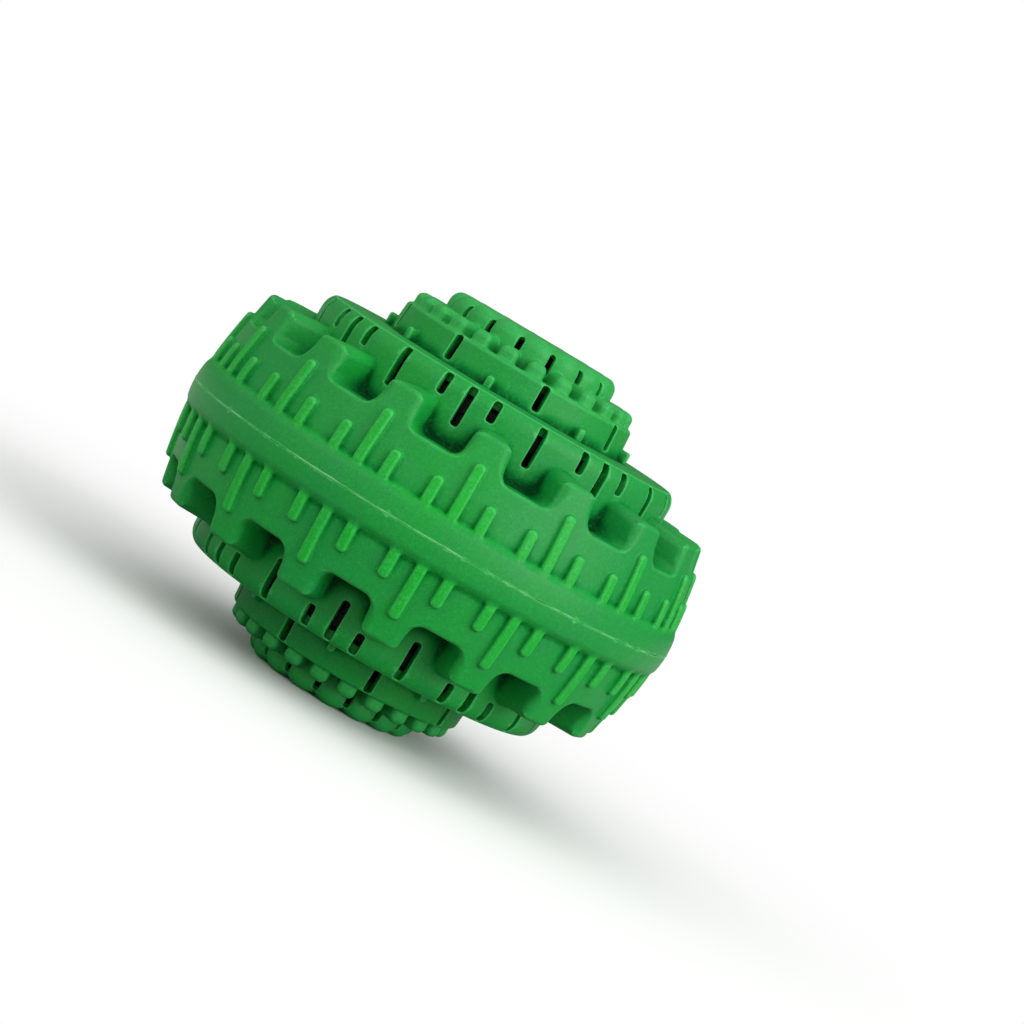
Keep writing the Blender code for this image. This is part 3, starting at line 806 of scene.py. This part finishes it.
class Paint(Graph):
    """A material's nodes, with names for the ones that every surface here uses."""

    def __init__(self, name):
        self.material = bpy.data.materials.new(name)
        self.material.use_nodes = True
        super().__init__(self.material.node_tree)
        self.shader = self.tree.nodes["Principled BSDF"]

    def place(self):
        return self.node("ShaderNodeTexCoord", {}, {}, "Object")

    def attribute(self, name):
        return self.node("ShaderNodeAttribute", {"attribute_name": name}, {}, "Fac")

    def mix(self, share, first, second):
        """Colour between two colours."""
        return self.node("ShaderNodeMix", {"data_type": "RGBA"}, {0: share, 6: first, 7: second}, 2)

    def bump(self, height, distance, strength):
        values = {"Height": height, "Distance": distance, "Strength": strength}
        return self.node("ShaderNodeBump", {}, values)

    def finish(self, specular, **sockets):
        """The material, with underscores for spaces in the sockets' names."""
        self.shader.inputs["Specular IOR Level"].default_value = specular
        for name, value in sockets.items():
            self.feed(self.shader.inputs[name.replace("_", " ")], value)
        return self.material


def soft_rubber(name):
    """Satin moulded rubber: livelier ribs, painted highlights on edges and top, painted shade in corners,
    lightly scuffed.
    """
    paint = Paint(name)
    place = paint.place()
    bend = paint.attribute("bend")
    raised = paint.attribute("raised")
    shelter = paint.attribute("shelter")
    broad = paint.noise(place, scale=32.0, detail=2.0)
    patchy = paint.noise(place, scale=190.0, detail=3.0, rough=0.6)
    grain = paint.noise(place, scale=2600.0, detail=2.0, rough=0.6)
    fleck = paint.noise(place, scale=1500.0, detail=3.0, rough=0.7)
    edge = bend.ramp(0.12, 0.65)
    top = paint.attribute("top")
    shade = paint.mix(broad.ramp(0.30, 0.70), RUBBER_COOL, RUBBER_WARM)
    shade = paint.mix(patchy.ramp(0.35, 0.75) * 0.45, shade, RUBBER_DULL)
    shade = paint.mix(raised * 0.80, shade, RUBBER_BRIGHT)
    # Painted highlight: convex edges are paler; the same edge mask also places the scuffs below
    shade = paint.mix(edge * 0.70, shade, RUBBER_HIGHLIGHT_AND_FLECK)
    # Painted light: the knobs and the fourth tier are mixed paler
    shade = paint.mix(top * (1.0 - edge) * 0.32, shade, RUBBER_HIGHLIGHT_AND_FLECK)
    # Painted shade: corners, creases and the inside are darkened
    shade = paint.mix(shelter.ramp(0.07, 0.38) * 0.94, shade, RUBBER_SHADED)
    scuff = edge * patchy.ramp(0.50, 0.68) * 0.30
    shade = paint.mix(scuff, shade, RUBBER_SCUFFED)
    shade = paint.mix(grain.ramp(0.52, 0.72) * 0.32, shade, RUBBER_DEEP)
    shade = paint.mix(fleck.ramp(0.50, 0.66) * (raised + 0.5) * 0.28, shade, RUBBER_HIGHLIGHT_AND_FLECK)
    roughness = 0.50 + patchy * 0.12 + scuff * 0.25
    # The coat's sheen fades in the same corners, so the painted shade there holds no reflection
    sheen = (1.0 - shelter.ramp(0.02, 0.25)) * SATIN_SHEEN
    relief = paint.bump(grain * 0.6 + fleck * 0.6 + patchy, distance=0.00014, strength=0.55)
    return paint.finish(specular=0.03, Base_Color=shade, Roughness=roughness, Coat_Weight=sheen,
                        Coat_Roughness=0.46, Normal=relief)


def parting_flash(name):
    """The thin film of rubber that the mould squeezes out at its parting line."""
    paint = Paint(name)
    patchy = paint.noise(paint.place(), scale=260.0, detail=3.0, rough=0.6)
    shade = paint.mix(patchy.ramp(0.35, 0.65), FLASH_SOFT, FLASH_PALE)
    return paint.finish(specular=0.20, Base_Color=shade, Roughness=0.38 + patchy * 0.15)


def moulded_plastic(name, light, dark, worn):
    """Hard moulded plastic with faint flow marks, paler edges and a fine satin grain."""
    paint = Paint(name)
    place = paint.place()
    flow = paint.noise(place, scale=60.0, detail=3.0, rough=0.6)
    specks = paint.noise(place, scale=900.0, detail=2.0)
    edge = paint.attribute("bend").ramp(0.20, 0.90) * flow.ramp(0.35, 0.60)
    shade = paint.mix(flow.ramp(0.30, 0.75) * 0.5, dark, light)
    shade = paint.mix(edge * 0.5, shade, worn)
    relief = paint.bump(specks, distance=0.00005, strength=0.25)
    return paint.finish(specular=0.12, Base_Color=shade, Roughness=0.50 + flow * 0.12, Normal=relief)


def fired_ceramic(name, clay, speck):
    """Unglazed fired bead: chalky, speckled and slightly pitted."""
    paint = Paint(name)
    place = paint.place()
    cloud = paint.noise(place, scale=260.0, detail=3.0, rough=0.6)
    pits = paint.noise(place, scale=1500.0, detail=3.0, rough=0.7)
    shade = paint.mix(pits.ramp(0.50, 0.66) * 0.7, clay, speck)
    shade = paint.mix(cloud.ramp(0.4, 0.8) * 0.25, shade, CERAMIC_CHALK)
    relief = paint.bump(pits, distance=0.00012, strength=0.5)
    return paint.finish(specular=0.35, Base_Color=shade, Roughness=0.52 + cloud * 0.2, Normal=relief)


def ring_recipe():
    """Repeats a wedge and its mirror image round the axis and welds the seams."""
    inputs = {"Groups": "Int", "First Angle": "Float", "Weld": "Float", "Material": "Material"}
    recipe = Recipe("ring_of_wedges", inputs)
    wedge = recipe.given("Geometry")
    mirrored = recipe.node("GeometryNodeTransform", {}, {"Geometry": wedge, "Scale": (1.0, -1.0, 1.0)})
    mirrored = recipe.node("GeometryNodeFlipFaces", {}, {"Mesh": mirrored})
    pair = recipe.node("GeometryNodeJoinGeometry", {}, {"Geometry": [wedge, mirrored]})
    places = recipe.node("GeometryNodePoints", {}, {"Count": recipe.given("Groups")})
    turn = recipe.node("GeometryNodeInputIndex", {}, {}) * (math.tau / recipe.given("Groups"))
    angles = recipe.node("ShaderNodeCombineXYZ", {}, {"Z": turn + recipe.given("First Angle")})
    rotation = recipe.node("FunctionNodeEulerToRotation", {}, {"Euler": angles})
    values = {"Points": places, "Instance": pair, "Rotation": rotation}
    ring = recipe.node("GeometryNodeInstanceOnPoints", {}, values)
    ring = recipe.node("GeometryNodeRealizeInstances", {}, {"Geometry": ring})
    values = {"Geometry": ring, "Distance": recipe.given("Weld")}
    ring = recipe.node("GeometryNodeMergeByDistance", {}, values)
    values = {"Geometry": ring, "Material": recipe.given("Material")}
    return recipe.finish(recipe.node("GeometryNodeSetMaterial", {}, values))


def bead_recipe():
    """Puts a slightly uneven ball on each point, turned and sized at random from a fixed seed."""
    inputs = {"Radius": "Float", "Unevenness": "Float", "Lump Scale": "Float", "Seed": "Int",
              "Material": "Material"}
    recipe = Recipe("uneven_beads", inputs)
    radius = recipe.given("Radius")
    uneven = recipe.given("Unevenness")
    seed = recipe.given("Seed")
    ball = recipe.node("GeometryNodeMeshIcoSphere", {}, {"Radius": radius, "Subdivisions": BEAD_FINENESS})
    turn = {0: (-math.pi, -math.pi, -math.pi), 1: (math.pi, math.pi, math.pi), "Seed": seed}
    turn = recipe.node("FunctionNodeRandomValue", {"data_type": "FLOAT_VECTOR"}, turn)
    turn = recipe.node("FunctionNodeEulerToRotation", {}, {"Euler": turn})
    size = {2: 1.0 - uneven, 3: 1.0, "Seed": seed + 1.0}
    size = recipe.node("FunctionNodeRandomValue", {"data_type": "FLOAT"}, size, 1)
    values = {"Points": recipe.given("Geometry"), "Instance": ball, "Rotation": turn, "Scale": size}
    beads = recipe.node("GeometryNodeInstanceOnPoints", {}, values)
    beads = recipe.node("GeometryNodeRealizeInstances", {}, {"Geometry": beads})
    lumps = recipe.noise(recipe.node("GeometryNodeInputPosition", {}, {}), recipe.given("Lump Scale"))
    normal = recipe.node("GeometryNodeInputNormal", {}, {})
    inward = {0: normal, "Scale": -lumps * uneven * radius}
    offset = recipe.node("ShaderNodeVectorMath", {"operation": "SCALE"}, inward)
    beads = recipe.node("GeometryNodeSetPosition", {}, {"Geometry": beads, "Offset": offset})
    values = {"Geometry": beads, "Material": recipe.given("Material")}
    return recipe.finish(recipe.node("GeometryNodeSetMaterial", {}, values))


def settle_in(piece, body, slot, *nodes):
    """Tie a finished piece to its body, and hide the solids that it stands for. The slot is not used."""
    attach(piece, body)
    if nodes:
        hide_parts(*nodes)


def make_skins(ring):
    """Both rubber skins, from one wedge. The grid is fine near the parting, where the rim is thin."""
    radii = spread(CAP_RADIUS, BELT_RADIUS + GRID_MARGIN, CELL)
    fine = np.arange(-4 * FINE_CELL, FINE_HEIGHT, FINE_CELL)
    heights = np.concatenate((fine, spread(FINE_HEIGHT, POLE_TOP + GRID_MARGIN, CELL)))
    wedge = Wedge(skin_distance, POCKET_STEP, radii, heights, CELL).mesh(SKIN_KEPT)
    points = polar(wedge)
    mark(wedge, bend=bend_at(skin_distance, points), raised=raised_at(points), top=top_at(points),
         shelter=shelter_at(points))
    rubber = soft_rubber("soft_rubber_skin")
    mesh = ring.apply(wedge, Groups=8, First_Angle=0.0, Weld=WELD, Material=rubber)
    close_holes(mesh)
    lower = placed(mesh.copy(), "lower_skin", skin_distance, 0.0, -1.0)
    upper = placed(mesh, "upper_skin", skin_distance, 0.0, 1.0)
    settle_in(upper, "upper_half", "soft_rubber", "upper_shell")
    settle_in(lower, "lower_half", "soft_rubber", "lower_shell")


def make_cages(ring):
    """The two cages, each from a wedge of its own because one has pegs and the other sockets."""
    plastic = moulded_plastic("cage_plastic_look", CAGE_LIGHT, CAGE_DARK, CAGE_WORN)
    halves = (("upper", pegged_cage, -FLANGE_TOP, 1.0), ("lower", socketed_cage, 0.0, -1.0))
    for half, field, lowest, sign in halves:
        radii = spread(CAGE_HUB_HOLE - GRID_MARGIN, FLANGE_RADIUS + GRID_MARGIN, CAGE_CELL)
        heights = spread(lowest - GRID_MARGIN, CAGE_TOP + GRID_MARGIN, CAGE_CELL)
        wedge = Wedge(field, PEG_STEP / 2, radii, heights, CAGE_CELL).mesh(CAGE_KEPT)
        mark(wedge, bend=bend_at(field, polar(wedge)))
        mesh = ring.apply(wedge, Groups=4, First_Angle=PEG_STEP / 2, Weld=WELD, Material=plastic)
        cage = placed(mesh, half + "_cage_fine", field, PEG_STEP / 2, sign)
        settle_in(cage, half + "_half", "cage_plastic", half + "_cage")


def make_divider():
    """Two crossed walls with their edges rounded. One arm's corners are turned by quarters in the plane."""
    low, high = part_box("divider")
    reach, half = high.x, DIVIDER_THICKNESS / 2
    arm = (complex(reach, -half), complex(reach, half), complex(half, half))
    outline = [corner * 1j ** quarter for quarter in range(4) for corner in arm]
    shape = bmesh.new()
    floor = shape.faces.new([shape.verts.new((spot.real, spot.imag, low.z)) for spot in outline])
    raised = bmesh.ops.extrude_face_region(shape, geom=[floor])
    tops = [item for item in raised["geom"] if isinstance(item, bmesh.types.BMVert)]
    bmesh.ops.translate(shape, verts=tops, vec=(0.0, 0.0, high.z - low.z))
    bmesh.ops.recalc_face_normals(shape, faces=shape.faces)
    bmesh.ops.bevel(shape, geom=shape.edges[:], offset=DIVIDER_EDGE, segments=DIVIDER_EDGE_STEPS,
                    profile=0.5, affect="EDGES")
    mesh = bpy.data.meshes.new("divider_fine")
    shape.to_mesh(mesh)
    shape.free()
    mesh.shade_smooth()
    mesh.set_sharp_from_angle(angle=DIVIDER_SHARP)
    mesh.materials.append(moulded_plastic("divider_plastic_look", DIVIDER_LIGHT, DIVIDER_DARK, DIVIDER_WORN))
    settle_in(linked("divider_fine", mesh), "lower_half", "divider_plastic", "divider")


def make_beads():
    """Each kind of bead as one piece, at the places of its solids."""
    recipe = bead_recipe()
    for seed, (kind, (clay, speck)) in enumerate(BEAD_CLAY_AND_SPECK.items()):
        nodes = sorted(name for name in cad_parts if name.startswith(kind))
        boxes = [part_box(name) for name in nodes]
        centres = bpy.data.meshes.new(kind + "_centres")
        centres.from_pydata([tuple((low + high) / 2) for low, high in boxes], [], [])
        radius = (boxes[0][1].z - boxes[0][0].z) / 2
        ceramic = fired_ceramic(kind + "_ceramic_look", clay, speck)
        mesh = recipe.apply(centres, Radius=radius, Unevenness=BEAD_UNEVENNESS, Lump_Scale=BEAD_LUMP_SCALE,
                            Seed=10 * seed, Material=ceramic)
        mesh.shade_smooth()
        settle_in(linked(kind + "_beads", mesh), "lower_half", kind + "_ceramic", *nodes)


def make_flash():
    """A thin uneven ridge of flash round the belt, as one closed strip."""
    shape = bmesh.new()
    rings = []
    for step in range(FLASH_STEPS):
        angle = 2 * math.pi * step / FLASH_STEPS
        cosine, sine = math.cos(angle), math.sin(angle)
        wander = noise.noise((FLASH_WANDER * cosine, FLASH_WANDER * sine, 0.0))
        ragged = noise.noise((FLASH_RAGGED * cosine, FLASH_RAGGED * sine, 5.0))
        proud = FLASH_PROUD * (0.60 + 0.20 * wander + 0.20 * ragged)
        half = FLASH_WIDTH / 2 * (1.0 + 0.5 * wander)
        level = PARTING + FLASH_WIDTH * 0.5 * wander
        inner = BELT_RADIUS - FLASH_WIDTH
        section = ((inner, -half), (BELT_RADIUS + proud * 0.4, -half), (BELT_RADIUS + proud, 0.0),
                   (BELT_RADIUS + proud * 0.4, half), (inner, half))
        ring = []
        for radius, rise in section:
            ring.append(shape.verts.new((radius * cosine, radius * sine, level + rise)))
        rings.append(ring)
    for step, ring in enumerate(rings):
        after = rings[(step + 1) % FLASH_STEPS]
        for side in range(len(ring)):
            beyond = (side + 1) % len(ring)
            shape.faces.new((ring[side], after[side], after[beyond], ring[beyond]))
    bmesh.ops.recalc_face_normals(shape, faces=shape.faces)
    mesh = bpy.data.meshes.new("parting_flash")
    shape.to_mesh(mesh)
    shape.free()
    mesh.shade_smooth()
    mesh.materials.append(parting_flash("parting_flash_rubber"))
    settle_in(linked("parting_flash", mesh), "lower_half", "soft_rubber")


def make_floor():
    """A pale floor that keeps the ball's shadow and turns plain white away from it."""
    shape = bmesh.new()
    bmesh.ops.create_circle(shape, cap_ends=True, segments=FLOOR_SIDES, radius=FLOOR_RADIUS)
    mesh = bpy.data.meshes.new("floor")
    shape.to_mesh(mesh)
    shape.free()
    paint = Paint("floor_paper")
    distance = paint.node("ShaderNodeVectorMath", {"operation": "LENGTH"}, {0: paint.place()}, "Value")
    camera = paint.node("ShaderNodeLightPath", {}, {}, "Is Camera Ray")
    glossy = paint.node("ShaderNodeLightPath", {}, {}, "Is Glossy Ray")
    share = distance.ramp(*SHADOW_REACH) * paint.maths("MAXIMUM", camera, glossy)
    plain = paint.node("ShaderNodeEmission", {}, {"Color": PLAIN_WHITE, "Strength": 1.0})
    shade = paint.mix(camera, PAPER_LIT, PAPER_SEEN)
    paint.finish(specular=0.1, Base_Color=shade, Roughness=0.9)
    shaded = Value(paint, paint.shader.outputs[0])
    both = paint.node("ShaderNodeMixShader", {}, {0: share, 1: shaded, 2: plain})
    paint.tree.links.new(both.socket, paint.tree.nodes["Material Output"].inputs["Surface"])
    mesh.materials.append(paint.material)
    linked("floor", mesh)


def make_world():
    """A soft dome, brighter towards the photograph's top, that the camera sees as plain white."""
    world = bpy.data.worlds.new("studio")
    bpy.context.scene.world = world
    world.use_nodes = True
    sky = Graph(world.node_tree)
    direction = sky.node("ShaderNodeTexCoord", {}, {}, "Generated")
    values = {0: direction, 1: DOME_TOP}
    height = sky.node("ShaderNodeVectorMath", {"operation": "DOT_PRODUCT"}, values, "Value")
    strength = height.ramp(-DOME_SPREAD, DOME_SPREAD) * (DOME_BRIGHT - DOME_DIM) + DOME_DIM
    light = sky.node("ShaderNodeBackground", {}, {"Color": DOME_COLOUR, "Strength": strength})
    white = sky.node("ShaderNodeBackground", {}, {"Color": PLAIN_WHITE, "Strength": 1.0})
    ray = sky.node("ShaderNodeLightPath", {}, {}, "Is Camera Ray")
    both = sky.node("ShaderNodeMixShader", {}, {0: ray, 1: light, 2: white})
    sky.tree.links.new(both.socket, sky.tree.nodes["World Output"].inputs["Surface"])


def make_lamp(name, place, size, power, colour):
    """A square lamp that faces the middle of the belt from its place."""
    lamp = bpy.data.lights.new(name, "AREA")
    lamp.size = size
    lamp.energy = power
    lamp.color = colour
    made = bpy.data.objects.new(name, lamp)
    bpy.context.scene.collection.objects.link(made)
    made.location = Vector((0.0, 0.0, PARTING)) + Vector(place)
    made.rotation_mode = "QUATERNION"
    made.rotation_quaternion = Vector(place).to_track_quat("Z", "Y")


def make_camera():
    """The photograph's view: close to level with the belt, rolled so that the ball leans right."""
    lens = bpy.data.cameras.new("photo_view")
    camera = bpy.data.objects.new("photo_view", lens)
    bpy.context.scene.collection.objects.link(camera)
    back = Vector((
        math.sin(VIEW_AZIMUTH) * math.cos(VIEW_ELEVATION),
        -math.cos(VIEW_AZIMUTH) * math.cos(VIEW_ELEVATION),
        math.sin(VIEW_ELEVATION),
    ))
    camera.location = Vector((0.0, 0.0, PARTING)) + back * VIEW_DISTANCE
    level = (-back).to_track_quat("-Z", "Y")
    camera.rotation_mode = "QUATERNION"
    camera.rotation_quaternion = level @ Matrix.Rotation(VIEW_ROLL, 3, "Z").to_quaternion()
    lens.sensor_width = VIEW_SENSOR
    lens.lens = VIEW_LENS
    lens.shift_x, lens.shift_y = VIEW_SHIFT
    lens.clip_start, lens.clip_end = VIEW_CLIP
    bpy.context.scene.camera = camera


ring_of_wedges = ring_recipe()
make_skins(ring_of_wedges)
make_cages(ring_of_wedges)
make_divider()
make_beads()
make_flash()
make_floor()
make_world()
make_lamp("key_light", place=(-0.60, -0.62, 0.55), size=0.70, power=1.5, colour=(1.0, 0.99, 0.97))
make_lamp("right_light", place=(0.84, -0.46, 0.44), size=0.90, power=8.5, colour=(1.0, 1.0, 0.99))
make_camera()
bpy.context.scene.view_settings.view_transform = "Standard"
